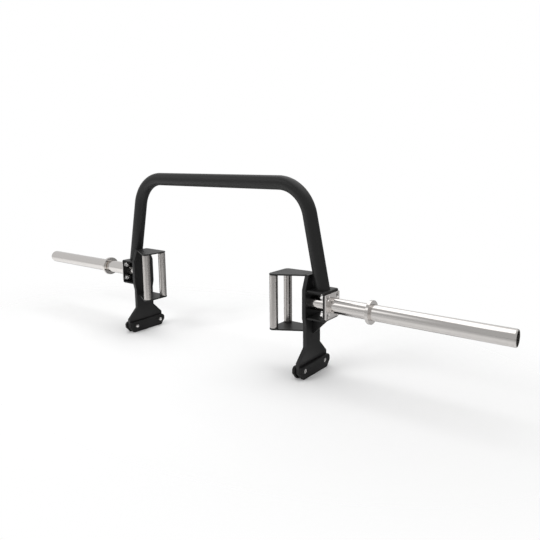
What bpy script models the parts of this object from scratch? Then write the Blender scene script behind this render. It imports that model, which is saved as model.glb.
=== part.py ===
"""Open-ended trap bar.

A bent tube arches over the lifter and joins two upright side plates. Inside each side plate two
steel grips stand between a pair of flat plates, outside it a bracket carries the bolted sleeve unit,
and under it two wear pads rest on the floor. The collar and the loadable sleeve turn together on a
fixed spindle.

Metres, +Z up, +X along the bar. The origin is on the floor under the middle of the bar. Each half is
built in its own space, whose x axis is the sleeve axis pointing outwards from the middle of the bar.
"""

import math

import bmesh
import bpy
from mathutils import Vector

# Clearances
FIT_GAP = 0.0003              # between pieces that are welded, pressed or clamped together
RUNNING_GAP = 0.0003          # between pieces that turn on each other
BOLT_HOLE_PLAY = 0.0004       # hole radius less shank radius

# The bar as a whole
AXIS_HEIGHT = 0.243           # sleeve axis above the floor
SIDE_PLATE_X = 0.4163         # middle of the bar to a side plate's inner face

# Side plate, in heights above or depths below the sleeve axis
SIDE_PLATE_THICKNESS = 0.014
SIDE_TOP_HEIGHT = 0.095
SIDE_TOP_HALF_WIDTH = 0.030
SIDE_BOSS_DEPTH = 0.045       # depth at which the wide part beside the sleeve ends
SIDE_NECK_HALF_WIDTH = 0.042
SIDE_NECK_DEPTH = 0.071       # depth at which the neck begins
SIDE_FLARE_HEIGHT = 0.042     # height of the slanted part between neck and foot
SIDE_FLARE_STEP = 0.012       # foot's upright edge that shows above the pads
SIDE_FOOT_INSET = 0.0055      # foot's edge behind the pads' edge
SIDE_FOOT_LIFT = 0.003        # foot's lower edge above the floor
SIDE_CORNER_RADIUS = 0.004

# Foot pads
PAD_THICKNESS = 0.0105
PAD_HEIGHT = 0.043
PAD_HALF_LENGTH = 0.0885
PAD_TOP_CHAMFER_LENGTH = 0.0075
PAD_TOP_CHAMFER_HEIGHT = 0.008
PAD_BOTTOM_CHAMFER_LENGTH = 0.0175
PAD_BOTTOM_CHAMFER_HEIGHT = 0.021
PAD_CORNER_RADIUS = 0.003

# Foot screws and their dome nuts
FOOT_SCREW_SPREAD = 0.060     # each screw in front of or behind the bar's middle plane
FOOT_SCREW_HEIGHT = 0.026     # above the floor
FOOT_SCREW_RADIUS = 0.004
FOOT_HEAD_RADIUS = 0.0078
FOOT_HEAD_HEIGHT = 0.0040
FOOT_HEAD_RECESS = 0.006      # depth of the recess in the outer pad
FOOT_RECESS_RADIUS = 0.0084
FOOT_SOCKET_HALF_WIDTH = 0.0045
FOOT_SOCKET_DEPTH = 0.0030
DOME_NUT_HALF_WIDTH = 0.0065
DOME_NUT_HEX_HEIGHT = 0.0065
DOME_NUT_HEIGHT = 0.013

# Handle cassette: two plates and two grips inside each side plate
CASSETTE_PLATE_THICKNESS = 0.005
CASSETTE_ROUNDING = 0.0145    # radius of the plates' corners, centred on the grips
GRIP_X = 0.3175               # half the distance between the left and right hands
GRIP_FRONT_Y = -0.067
GRIP_REAR_Y = 0.0122
GRIP_RADIUS = 0.014
GRIP_END_BAND = 0.008         # smooth band at each end of a grip
GRIP_BAND_STEP = 0.0004       # band's surface below the knurled part

# Bracket outside the side plate
BRACKET_DEPTH = 0.0627        # side plate's outer face to the outer plate's inner face
BRACKET_PLATE_THICKNESS = 0.005
BRACKET_TOP_MARGIN = 0.0065   # outer plate's rim above and below the flange
BRACKET_SIDE_MARGIN = 0.0025  # outer plate's rim in front of and behind the flange
BRACKET_CORNER_RADIUS = 0.005
GUSSET_THICKNESS = 0.005
GUSSET_SIDE_INSET = 0.001     # gusset's side edge behind the outer plate's side edge
RIB_THICKNESS = 0.008
RIB_REACH = 0.0515            # along the lower gusset
RIB_HEIGHT = 0.060            # down the side plate
RIB_NOSE = 0.009              # height of the rib's outer end

# Arch
ARCH_TUBE_RADIUS = 0.02415
ARCH_TUBE_WALL = 0.003
ARCH_RISE = 0.3867            # top run's centreline above the sleeve axis
ARCH_BEND_RADIUS = 0.127
ARCH_LEG_LEAN = math.radians(11.83)

# Flange, its bolts, nuts and washers
FLANGE_THICKNESS = 0.006
FLANGE_CORNER_RADIUS = 0.004
FLANGE_BOLT_CLEARANCE = 0.0062  # stub tube's wall to each bolt's recess
FLANGE_BOLT_EDGE = 0.0125     # each bolt's centre from the flange's edges
FLANGE_BOLT_RADIUS = 0.005
FLANGE_RECESS_RADIUS = 0.0098
FLANGE_RECESS_DEPTH = 0.0042  # holds a bolt's low head
FLANGE_RECESS_TAPER = 0.0022  # recess's floor is this much smaller in radius than its mouth
BOLT_HEAD_RADIUS = 0.0072
BOLT_HEAD_HEIGHT = 0.0018
BOLT_SOCKET_HALF_WIDTH = 0.0040
BOLT_SOCKET_DEPTH = 0.0050
NUT_HALF_WIDTH = 0.0095       # half across flats
NUT_HEIGHT = 0.010
NUT_WASHER_RADIUS = 0.012
NUT_WASHER_THICKNESS = 0.0025
BOLT_PROTRUSION = 0.003       # bolt's end past its nut

# Spindle and sleeve unit
SPINDLE_RADIUS = 0.0165
SPINDLE_END = 0.003           # spindle past the retaining ring
STUB_REACH = 0.1298           # stub tube past the flange's outer face
STUB_WALL = 0.005
SLEEVE_RADIUS = 0.025
SLEEVE_WALL = 0.006
LOADABLE_LENGTH = 0.4206      # collar's outer face to the sleeve's end
COLLAR_RADIUS = 0.0375
COLLAR_WIDTH = 0.0105
SUPPORT_RING_LENGTH = 0.012
THRUST_WASHER_THICKNESS = 0.0015
THRUST_WASHER_RADIUS = 0.024
BUSH_LENGTH = 0.030
OUTER_BUSH_SETBACK = 0.0135   # outer bush's face behind the end recess's floor
RETAINING_WASHER_RADIUS = 0.0185
RETAINING_WASHER_THICKNESS = 0.002
RETAINING_RING_RADIUS = 0.0183
RETAINING_RING_THICKNESS = 0.0015
RETAINING_GROOVE_DEPTH = 0.0012
END_RECESS_DEPTH = 0.024
END_RECESS_WALL = 0.003       # rim of the sleeve round the recess
END_CAP_THICKNESS = 0.010
END_CAP_RIM = 0.004           # width of the cap's raised rim
END_CAP_DISH = 0.005          # depth of the cap's middle below its rim

# Edges and facets
PLATE_EDGE = 0.0006           # chamfer round plates
TURNED_EDGE = 0.001           # chamfer on turned pieces
SLEEVE_END_CHAMFER_LENGTH = 0.0035
SLEEVE_END_CHAMFER_DEPTH = 0.0015
ARC_STEP = math.radians(22.5)
BEND_STEPS = 8
DOME_RISES = [math.radians(degrees) for degrees in (65.0, 35.0, 0.0)]
TUBE_SIDES = 24
SHAFT_SIDES = 20
RING_SIDES = 16
BOLT_SIDES = 12
SHARP_ANGLE = math.radians(35)

# Places that follow from the sizes above, in a half's own space
SIDE_OUTER_X = SIDE_PLATE_X + SIDE_PLATE_THICKNESS
BRACKET_PLATE_X = SIDE_OUTER_X + BRACKET_DEPTH
FLANGE_X = BRACKET_PLATE_X + BRACKET_PLATE_THICKNESS + FIT_GAP
FLANGE_OUTER_X = FLANGE_X + FLANGE_THICKNESS
STUB_X = SIDE_OUTER_X + FIT_GAP
STUB_END_X = FLANGE_OUTER_X + FIT_GAP + STUB_REACH
THRUST_WASHER_X = STUB_END_X + FIT_GAP
SLEEVE_X = THRUST_WASHER_X + THRUST_WASHER_THICKNESS + RUNNING_GAP
SLEEVE_END_X = SLEEVE_X + COLLAR_WIDTH + LOADABLE_LENGTH
END_RECESS_X = SLEEVE_END_X - END_RECESS_DEPTH
OUTER_BUSH_X = END_RECESS_X - OUTER_BUSH_SETBACK - BUSH_LENGTH
RETAINING_WASHER_X = OUTER_BUSH_X + BUSH_LENGTH + RUNNING_GAP
RETAINING_RING_X = RETAINING_WASHER_X + RETAINING_WASHER_THICKNESS + FIT_GAP
SPINDLE_X = STUB_X
SPINDLE_END_X = RETAINING_RING_X + RETAINING_RING_THICKNESS + SPINDLE_END
PAD_TOP_DEPTH = AXIS_HEIGHT - PAD_HEIGHT
FOOT_SCREW_DEPTH = AXIS_HEIGHT - FOOT_SCREW_HEIGHT
SLEEVE_BORE = SLEEVE_RADIUS - SLEEVE_WALL

# The flange is as large as its bolts need, and the bracket's outer plate frames the flange
FLANGE_BOLT_REACH = SLEEVE_RADIUS + FLANGE_BOLT_CLEARANCE + FLANGE_RECESS_RADIUS
FLANGE_BOLT_SPREAD = FLANGE_BOLT_REACH / math.sqrt(2.0)
FLANGE_SIZE = 2.0 * (FLANGE_BOLT_SPREAD + FLANGE_BOLT_EDGE)
BRACKET_HEIGHT = FLANGE_SIZE + 2.0 * BRACKET_TOP_MARGIN
BRACKET_WIDTH = FLANGE_SIZE + 2.0 * BRACKET_SIDE_MARGIN

# Colour, metallic and roughness of each finish
FINISHES = {
    "black_powder_coat": ((0.018, 0.018, 0.019), 0.0, 0.45),
    "brushed_steel": ((0.46, 0.44, 0.42), 1.0, 0.38),
    "chrome": ((0.78, 0.77, 0.76), 1.0, 0.14),
    "black_rubber": ((0.014, 0.014, 0.014), 0.0, 0.60),
    "zinc_steel": ((0.60, 0.60, 0.60), 1.0, 0.25),
    "bronze": ((0.52, 0.34, 0.15), 1.0, 0.35),
    "black_plastic": ((0.030, 0.030, 0.032), 0.0, 0.40),
}


def finish(name):
    """One Principled material for each finish, made the first time that it is asked for."""
    found = bpy.data.materials.get(name)
    if found:
        return found
    colour, metallic, roughness = FINISHES[name]
    material = bpy.data.materials.new(name)
    material.use_nodes = True
    shader = material.node_tree.nodes["Principled BSDF"]
    shader.inputs["Base Color"].default_value = (*colour, 1.0)
    shader.inputs["Metallic"].default_value = metallic
    shader.inputs["Roughness"].default_value = roughness
    return material


def half_space(name, turn):
    """Empty on the sleeve axis in the middle of the bar, turned so that its x axis points outwards."""
    empty = bpy.data.objects.new(name, None)
    empty.location = (0.0, 0.0, AXIS_HEIGHT)
    empty.rotation_euler = (0.0, 0.0, turn)
    bpy.context.scene.collection.objects.link(empty)
    return empty


def add_piece(name, shape, finish_name, location, parent):
    """Turn a bmesh into a named object with its normals outwards and its round faces smooth."""
    bmesh.ops.recalc_face_normals(shape, faces=shape.faces)
    mesh = bpy.data.meshes.new(name)
    shape.to_mesh(mesh)
    shape.free()
    mesh.shade_smooth()
    mesh.set_sharp_from_angle(angle=SHARP_ANGLE)
    mesh.materials.append(finish(finish_name))
    piece = bpy.data.objects.new(name, mesh)
    piece.location = location
    piece.parent = parent
    bpy.context.scene.collection.objects.link(piece)
    return piece


def round_bore(radius, sides):
    """Corner radius of a faceted bore whose flats still clear a shaft of the given radius."""
    return radius / math.cos(math.pi / sides)


def round_ring(x, radius, sides, centre=(0.0, 0.0)):
    """Ring of points round the x axis, or round a parallel through centre = (y, z)."""
    angles = [2.0 * math.pi * i / sides for i in range(sides)]
    return [Vector((x, centre[0] + radius * math.sin(a), centre[1] + radius * math.cos(a))) for a in angles]


def hex_ring(x, half_width, sides, centre=(0.0, 0.0)):
    """Ring of points on a hexagon's edges and corners, with a flat facing +Z."""
    points = []
    for i in range(sides):
        angle = 2.0 * math.pi * i / sides
        from_flat = (angle + math.pi / 6.0) % (math.pi / 3.0) - math.pi / 6.0
        radius = half_width / math.cos(from_flat)
        across = centre[0] + radius * math.sin(angle)
        up = centre[1] + radius * math.cos(angle)
        points.append(Vector((x, across, up)))
    return points


def loft(shape, rings, closed):
    """Skin rings of equally many points: a closed chain has a bore, an open one gets a cap at each end."""
    loops = [[shape.verts.new(point) for point in ring] for ring in rings]
    pairs = list(zip(loops, loops[1:]))
    if closed:
        pairs.append((loops[-1], loops[0]))
    for one, other in pairs:
        for i in range(len(one)):
            j = (i + 1) % len(one)
            shape.faces.new((one[i], one[j], other[j], other[i]))
    if not closed:
        shape.faces.new(loops[0])
        shape.faces.new(loops[-1])


def turned(name, profile, sides, closed, finish_name, location, parent):
    """Turned piece: profile is a list of (x, radius) along its own axis."""
    shape = bmesh.new()
    loft(shape, [round_ring(x, radius, sides) for x, radius in profile], closed)
    return add_piece(name, shape, finish_name, location, parent)


def plain_ring(name, length, bore, radius, finish_name, x, parent):
    """Bush, washer or ring whose bore clears the given radius."""
    inner = round_bore(bore, RING_SIDES)
    profile = [(0.0, radius), (length, radius), (length, inner), (0.0, inner)]
    return turned(name, profile, RING_SIDES, True, finish_name, (x, 0.0, 0.0), parent)


def rounded(corners):
    """Closed outline from corners (u, v, radius), each corner replaced by an arc of its radius."""
    points = []
    count = len(corners)
    for i, (u, v, radius) in enumerate(corners):
        corner = Vector((u, v))
        before = (Vector(corners[i - 1][:2]) - corner).normalized()
        after = (Vector(corners[(i + 1) % count][:2]) - corner).normalized()
        if radius == 0.0:
            points.append((u, v))
            continue
        opening = before.angle(after)
        reach = radius / math.tan(opening / 2.0)
        centre = corner + (before + after).normalized() * (radius / math.sin(opening / 2.0))
        start = corner + before * reach - centre
        sweep = start.angle_signed(corner + after * reach - centre)
        steps = max(1, math.ceil(abs(sweep) / ARC_STEP))
        for step in range(steps + 1):
            turn = -sweep * step / steps
            x = start.x * math.cos(turn) - start.y * math.sin(turn)
            y = start.x * math.sin(turn) + start.y * math.cos(turn)
            points.append((centre.x + x, centre.y + y))
    return points


def both_sides(half):
    """Outline symmetric about u = 0 from the corners of its positive half, top to bottom."""
    return rounded(half + [(-u, v, radius) for u, v, radius in reversed(half)])


def rectangle(width, height, radius):
    """Rectangular outline with rounded corners."""
    side = width / 2.0
    top = height / 2.0
    return both_sides([(side, top, radius), (side, -top, radius)])


def signed_area(points):
    """Positive for an outline that runs anticlockwise."""
    following = points[1:] + points[:1]
    return sum(a[0] * b[1] - b[0] * a[1] for a, b in zip(points, following)) / 2.0


def inset(points, distance):
    """The same outline with every edge moved inwards by a distance."""
    moved = []
    count = len(points)
    for i in range(count):
        here = Vector(points[i])
        into = (here - Vector(points[i - 1])).normalized()
        out = (Vector(points[(i + 1) % count]) - here).normalized()
        first = Vector((-into.y, into.x))
        second = Vector((-out.y, out.x))
        moved.append(tuple(here + (first + second) * (distance / (1.0 + first.dot(second)))))
    return moved


def plate(name, outline, thickness, axis, finish_name, location, parent, holes=(), edge=PLATE_EDGE):
    """Flat plate from 0 to its thickness along an axis, with chamfered outer edges.

    A hole is (u, v, steps), and its steps are (height, radius) from the lower to the upper face.
    """
    along = {
        "X": lambda u, v, w: (w, u, v),
        "Y": lambda u, v, w: (u, w, v),
        "Z": lambda u, v, w: (u, v, w),
    }[axis]
    if signed_area(outline) < 0.0:
        outline = outline[::-1]
    shape = bmesh.new()
    levels = [(0.0, edge), (edge, 0.0), (thickness - edge, 0.0), (thickness, edge)]
    walls = [[[along(u, v, w) for u, v in inset(outline, back)] for w, back in levels]]
    for u, v, steps in holes:
        wall = []
        for w, radius in steps:
            circle = round_ring(w, radius, BOLT_SIDES if radius < SLEEVE_RADIUS else TUBE_SIDES, (u, v))
            wall.append([along(y, z, x) for x, y, z in circle])
        walls.append(wall)
    lower, upper = [], []
    for wall in walls:
        loops = [[shape.verts.new(point) for point in ring] for ring in wall]
        for one, other in zip(loops, loops[1:]):
            for i in range(len(one)):
                j = (i + 1) % len(one)
                shape.faces.new((one[i], one[j], other[j], other[i]))
        for loop, rim in ((loops[0], lower), (loops[-1], upper)):
            rim.extend(shape.edges.get((loop[i - 1], loop[i])) for i in range(len(loop)))
    bmesh.ops.triangle_fill(shape, use_beauty=True, edges=lower)
    bmesh.ops.triangle_fill(shape, use_beauty=True, edges=upper)
    return add_piece(name, shape, finish_name, location, parent)


def through(u, v, radius, thickness, sides):
    """Plain round hole for a shaft or bolt of the given radius."""
    bore = round_bore(radius, sides)
    return (u, v, [(0.0, bore), (thickness, bore)])


def foot_screw_places():
    """Front and rear screw, as (y, z)."""
    return [(-FOOT_SCREW_SPREAD, -FOOT_SCREW_DEPTH), (FOOT_SCREW_SPREAD, -FOOT_SCREW_DEPTH)]


def flange_bolt_places():
    """The four bolts round the sleeve axis, as (y, z)."""
    spread = FLANGE_BOLT_SPREAD
    return [(y, z) for y in (-spread, spread) for z in (-spread, spread)]


def recessed(hole, depth, radius, taper=0.0):
    """The same hole with a wider recess in the plate's upper face, narrower at its floor by the taper."""
    u, v, steps = hole
    bore = steps[0][1]
    top = steps[-1][0]
    return (u, v, [(0.0, bore), (top - depth, bore), (top - depth, radius - taper), (top, radius)])


def foot_hole(thickness, place):
    """Hole for a foot screw."""
    return through(*place, FOOT_SCREW_RADIUS + BOLT_HOLE_PLAY, thickness, BOLT_SIDES)


def flange_bolt_holes(thickness):
    """Holes for the four flange bolts."""
    radius = FLANGE_BOLT_RADIUS + BOLT_HOLE_PLAY
    return [through(y, z, radius, thickness, BOLT_SIDES) for y, z in flange_bolt_places()]


def stub_hole(thickness):
    """Hole for the stub tube."""
    return through(0.0, 0.0, SLEEVE_RADIUS + FIT_GAP, thickness, TUBE_SIDES)


def pad_corners(back, lift):
    """Right-hand corners of a foot's outline, set back from the pads' edge and lifted off the floor."""
    length = PAD_HALF_LENGTH - back
    slope = PAD_BOTTOM_CHAMFER_LENGTH / PAD_BOTTOM_CHAMFER_HEIGHT
    low = -AXIS_HEIGHT + lift
    return [
        (length, -AXIS_HEIGHT + PAD_BOTTOM_CHAMFER_HEIGHT, PAD_CORNER_RADIUS),
        (length - PAD_BOTTOM_CHAMFER_LENGTH + lift * slope, low, PAD_CORNER_RADIUS),
    ]


def side_plate(side, half):
    """Upright plate, widest beside the sleeve, with a neck and a foot between the pads."""
    boss = BRACKET_HEIGHT / 2.0
    foot_top = -PAD_TOP_DEPTH + SIDE_FLARE_STEP
    radius = SIDE_CORNER_RADIUS
    corners = [
        (SIDE_TOP_HALF_WIDTH, SIDE_TOP_HEIGHT, radius / 2.0),
        (boss, boss, radius),
        (boss, -SIDE_BOSS_DEPTH, radius),
        (SIDE_NECK_HALF_WIDTH, -SIDE_NECK_DEPTH, radius),
        (SIDE_NECK_HALF_WIDTH, foot_top + SIDE_FLARE_HEIGHT, radius),
        (PAD_HALF_LENGTH - SIDE_FOOT_INSET, foot_top, radius),
    ]
    outline = both_sides(corners + pad_corners(SIDE_FOOT_INSET, SIDE_FOOT_LIFT))
    holes = [foot_hole(SIDE_PLATE_THICKNESS, place) for place in foot_screw_places()]
    place = (SIDE_PLATE_X, 0.0, 0.0)
    plate(f"{side}_side_plate", outline, SIDE_PLATE_THICKNESS, "X", "black_powder_coat", place, half, holes)


def foot_pads(side, half):
    """Wear pads on both faces of the side plate, the outer one with recesses for the screw heads."""
    length = PAD_HALF_LENGTH
    top = [
        (length - PAD_TOP_CHAMFER_LENGTH, -PAD_TOP_DEPTH, PAD_CORNER_RADIUS),
        (length, -PAD_TOP_DEPTH - PAD_TOP_CHAMFER_HEIGHT, PAD_CORNER_RADIUS),
    ]
    outline = both_sides(top + pad_corners(0.0, 0.0))
    inner_holes = [foot_hole(PAD_THICKNESS, place) for place in foot_screw_places()]
    outer_holes = [recessed(hole, FOOT_HEAD_RECESS, FOOT_RECESS_RADIUS) for hole in inner_holes]
    inner_x = SIDE_PLATE_X - FIT_GAP - PAD_THICKNESS
    outer_x = SIDE_OUTER_X + FIT_GAP
    for place, x, holes in (("inner", inner_x, inner_holes), ("outer", outer_x, outer_holes)):
        name = f"{side}_foot_pad_{place}"
        plate(name, outline, PAD_THICKNESS, "X", "black_rubber", (x, 0.0, 0.0), half, holes)


def front_or_rear(y, mirror):
    """Name of a place from its y in a half's own space."""
    return "front" if y * mirror < 0.0 else "rear"


def foot_screws(side, half, mirror):
    """Socket head screws through pads and plate, each made with its dome nut: x = 0 under the head."""
    head_x = SIDE_OUTER_X + FIT_GAP + PAD_THICKNESS - FOOT_HEAD_RECESS + FIT_GAP
    seat = SIDE_PLATE_X - FIT_GAP - PAD_THICKNESS - FIT_GAP - head_x
    hex_end = seat - DOME_NUT_HEX_HEIGHT
    dome_height = DOME_NUT_HEIGHT - DOME_NUT_HEX_HEIGHT
    dome_radius = DOME_NUT_HALF_WIDTH - TURNED_EDGE / 2.0
    socket_floor = FOOT_HEAD_HEIGHT - FOOT_SOCKET_DEPTH
    edge = TURNED_EDGE / 2.0
    for y, z in foot_screw_places():
        rings = []
        for rise in DOME_RISES:
            x = hex_end - dome_height * math.sin(rise)
            rings.append(round_ring(x, dome_radius * math.cos(rise), BOLT_SIDES))
        rings += [
            hex_ring(hex_end, DOME_NUT_HALF_WIDTH, BOLT_SIDES),
            hex_ring(seat, DOME_NUT_HALF_WIDTH, BOLT_SIDES),
            round_ring(seat, FOOT_SCREW_RADIUS, BOLT_SIDES),
            round_ring(0.0, FOOT_SCREW_RADIUS, BOLT_SIDES),
            round_ring(0.0, FOOT_HEAD_RADIUS, BOLT_SIDES),
            round_ring(FOOT_HEAD_HEIGHT - edge, FOOT_HEAD_RADIUS, BOLT_SIDES),
            round_ring(FOOT_HEAD_HEIGHT, FOOT_HEAD_RADIUS - edge, BOLT_SIDES),
            hex_ring(FOOT_HEAD_HEIGHT, FOOT_SOCKET_HALF_WIDTH, BOLT_SIDES),
            hex_ring(socket_floor, FOOT_SOCKET_HALF_WIDTH, BOLT_SIDES),
        ]
        shape = bmesh.new()
        loft(shape, rings, False)
        name = f"{side}_foot_screw_{front_or_rear(y, mirror)}"
        add_piece(name, shape, "zinc_steel", (head_x, y, z), half)


def tangent_angle(centre, radius, point, turn):
    """Angle, seen from a circle's centre, at which a line through an outside point touches the circle."""
    away = Vector(point) - Vector(centre)
    return math.atan2(away.y, away.x) + turn * math.acos(radius / away.length)


def cassette_outline(mirror):
    """Plate that wraps both grips and narrows or widens to the side plate's top width."""
    radius = CASSETTE_ROUNDING
    end_x = SIDE_PLATE_X - FIT_GAP
    front_end = (end_x, -SIDE_TOP_HALF_WIDTH)
    rear_end = (end_x, SIDE_TOP_HALF_WIDTH)
    front = (GRIP_X, GRIP_FRONT_Y)
    rear = (GRIP_X, GRIP_REAR_Y)
    first = tangent_angle(front, radius, front_end, -1.0)
    last = tangent_angle(rear, radius, rear_end, 1.0)
    points = [front_end]
    for centre, begin, end in ((front, first, -math.pi), (rear, math.pi, last)):
        steps = math.ceil(abs(end - begin) / ARC_STEP)
        for step in range(steps + 1):
            angle = begin + (end - begin) * step / steps
            points.append((centre[0] + radius * math.cos(angle), centre[1] + radius * math.sin(angle)))
    points.append(rear_end)
    return [(x, mirror * y) for x, y in points]


def cassette(side, half, mirror):
    """Upper and lower plate with a front and a rear grip standing between them."""
    outline = cassette_outline(mirror)
    thickness = CASSETTE_PLATE_THICKNESS
    upper_z = SIDE_TOP_HEIGHT - thickness
    for level, z in (("upper", upper_z), ("lower", -SIDE_TOP_HEIGHT)):
        name = f"{side}_cassette_{level}_plate"
        plate(name, outline, thickness, "Z", "black_powder_coat", (0.0, 0.0, z), half)
    grip_end = upper_z - FIT_GAP
    band = grip_end - GRIP_END_BAND
    thin = GRIP_RADIUS - GRIP_BAND_STEP
    profile = [(-grip_end, thin), (-band, thin), (-band, GRIP_RADIUS), (band, GRIP_RADIUS), (band, thin),
               (grip_end, thin)]
    for place, y in (("front", GRIP_FRONT_Y), ("rear", GRIP_REAR_Y)):
        location = (GRIP_X, mirror * y, 0.0)
        name = f"{side}_{place}_grip"
        grip = turned(name, profile, SHAFT_SIDES, False, "brushed_steel", location, half)
        grip.rotation_euler = (0.0, -math.pi / 2.0, 0.0)


def bracket(side, half):
    """Two gussets, the outer plate that takes flange and stub tube, and the rib under the lower gusset."""
    edge = BRACKET_HEIGHT / 2.0
    start = SIDE_OUTER_X + FIT_GAP
    end = BRACKET_PLATE_X - FIT_GAP
    width = BRACKET_WIDTH / 2.0 - GUSSET_SIDE_INSET
    gusset = [(start, -width), (end, -width), (end, width), (start, width)]
    for level, z in (("upper", edge - GUSSET_THICKNESS), ("lower", -edge)):
        name = f"{side}_bracket_{level}_gusset"
        plate(name, gusset, GUSSET_THICKNESS, "Z", "black_powder_coat", (0.0, 0.0, z), half)
    outline = rectangle(BRACKET_WIDTH, BRACKET_HEIGHT, BRACKET_CORNER_RADIUS)
    holes = flange_bolt_holes(BRACKET_PLATE_THICKNESS) + [stub_hole(BRACKET_PLATE_THICKNESS)]
    plate(f"{side}_bracket_outer_plate", outline, BRACKET_PLATE_THICKNESS, "X", "black_powder_coat",
          (BRACKET_PLATE_X, 0.0, 0.0), half, holes)
    rib_top = -edge - FIT_GAP
    rib = [(start, rib_top), (start + RIB_REACH, rib_top), (start + RIB_REACH, rib_top - RIB_NOSE),
           (start, rib_top - RIB_HEIGHT)]
    plate(f"{side}_bracket_rib", rib, RIB_THICKNESS, "Y", "black_powder_coat",
          (0.0, -RIB_THICKNESS / 2.0, 0.0), half)


def leg_x(z):
    """Distance of a leg's centreline from the bar's middle: the leg rests on the side plate's top edge."""
    clear = ARCH_TUBE_RADIUS + FIT_GAP
    return SIDE_OUTER_X + clear / math.cos(ARCH_LEG_LEAN) - (z - SIDE_TOP_HEIGHT) * math.tan(ARCH_LEG_LEAN)


def arch_stations():
    """Centreline from the right foot over the top to the left foot, as (x, z, travel x, travel z)."""
    foot_z = BRACKET_HEIGHT / 2.0 + FIT_GAP
    lean = ARCH_LEG_LEAN
    bend_z = ARCH_RISE - ARCH_BEND_RADIUS
    bend_x = leg_x(bend_z) - ARCH_BEND_RADIUS / math.cos(lean)
    right = [(leg_x(foot_z), foot_z, -math.sin(lean), math.cos(lean))]
    for step in range(BEND_STEPS + 1):
        angle = lean + (math.pi / 2.0 - lean) * step / BEND_STEPS
        x = bend_x + ARCH_BEND_RADIUS * math.cos(angle)
        z = bend_z + ARCH_BEND_RADIUS * math.sin(angle)
        right.append((x, z, -math.sin(angle), math.cos(angle)))
    left = [(-x, z, tx, -tz) for x, z, tx, tz in reversed(right)]
    return right + left


def arch_ring(station, radius, cut_level):
    """Ring of the tube at a station, slid along the tube onto a level cut where one is given."""
    x, z, tx, tz = station
    ring = []
    for i in range(SHAFT_SIDES):
        angle = 2.0 * math.pi * i / SHAFT_SIDES
        out = radius * math.cos(angle)
        point = Vector((x + out * tz, radius * math.sin(angle), z - out * tx))
        if cut_level is not None:
            point += Vector((tx, 0.0, tz)) * ((cut_level - point.z) / tz)
        ring.append(point)
    return ring


def arch():
    """One tube with two bends, its legs leaning outwards down to the brackets' upper gussets."""
    stations = arch_stations()
    foot_z = stations[0][1]
    last = len(stations) - 1
    levels = [foot_z if i in (0, last) else None for i in range(last + 1)]
    outer = [arch_ring(station, ARCH_TUBE_RADIUS, level) for station, level in zip(stations, levels)]
    bore = ARCH_TUBE_RADIUS - ARCH_TUBE_WALL
    inner = [arch_ring(station, bore, level) for station, level in zip(stations, levels)]
    shape = bmesh.new()
    loft(shape, outer + inner[::-1], True)
    add_piece("arch_tube", shape, "black_powder_coat", (0.0, 0.0, AXIS_HEIGHT), None)


def flange(side, half):
    """Square flange round the stub tube, clamped on the outer plate, with recesses for the bolt heads."""
    outline = rectangle(FLANGE_SIZE, FLANGE_SIZE, FLANGE_CORNER_RADIUS)
    bolts = flange_bolt_holes(FLANGE_THICKNESS)
    holes = [recessed(hole, FLANGE_RECESS_DEPTH, FLANGE_RECESS_RADIUS, FLANGE_RECESS_TAPER) for hole in bolts]
    holes.append(stub_hole(FLANGE_THICKNESS))
    plate(f"{side}_flange", outline, FLANGE_THICKNESS, "X", "chrome", (FLANGE_X, 0.0, 0.0), half, holes)


def flange_bolts(side, half, mirror):
    """Low-headed socket bolts sunk in the flange, each made with its nut and washer in the gap."""
    head_x = FLANGE_OUTER_X - FLANGE_RECESS_DEPTH + FIT_GAP
    washer_end = BRACKET_PLATE_X - FIT_GAP - head_x
    washer_start = washer_end - NUT_WASHER_THICKNESS
    nut_start = washer_start - NUT_HEIGHT
    tip = nut_start - BOLT_PROTRUSION
    edge = TURNED_EDGE
    rings = [
        round_ring(tip, FLANGE_BOLT_RADIUS - edge, BOLT_SIDES),
        round_ring(tip + edge, FLANGE_BOLT_RADIUS, BOLT_SIDES),
        round_ring(nut_start, FLANGE_BOLT_RADIUS, BOLT_SIDES),
        hex_ring(nut_start, NUT_HALF_WIDTH, BOLT_SIDES),
        hex_ring(washer_start, NUT_HALF_WIDTH, BOLT_SIDES),
        round_ring(washer_start, NUT_WASHER_RADIUS, BOLT_SIDES),
        round_ring(washer_end, NUT_WASHER_RADIUS, BOLT_SIDES),
        round_ring(washer_end, FLANGE_BOLT_RADIUS, BOLT_SIDES),
        round_ring(0.0, FLANGE_BOLT_RADIUS, BOLT_SIDES),
        round_ring(0.0, BOLT_HEAD_RADIUS, BOLT_SIDES),
        round_ring(BOLT_HEAD_HEIGHT - edge / 2.0, BOLT_HEAD_RADIUS, BOLT_SIDES),
        round_ring(BOLT_HEAD_HEIGHT, BOLT_HEAD_RADIUS - edge / 2.0, BOLT_SIDES),
        hex_ring(BOLT_HEAD_HEIGHT, BOLT_SOCKET_HALF_WIDTH, BOLT_SIDES),
        hex_ring(BOLT_HEAD_HEIGHT - BOLT_SOCKET_DEPTH, BOLT_SOCKET_HALF_WIDTH, BOLT_SIDES),
    ]
    for y, z in flange_bolt_places():
        shape = bmesh.new()
        loft(shape, rings, False)
        level = "upper" if z > 0.0 else "lower"
        name = f"{side}_flange_bolt_{level}_{front_or_rear(y, mirror)}"
        add_piece(name, shape, "zinc_steel", (head_x, y, z), half)


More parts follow.
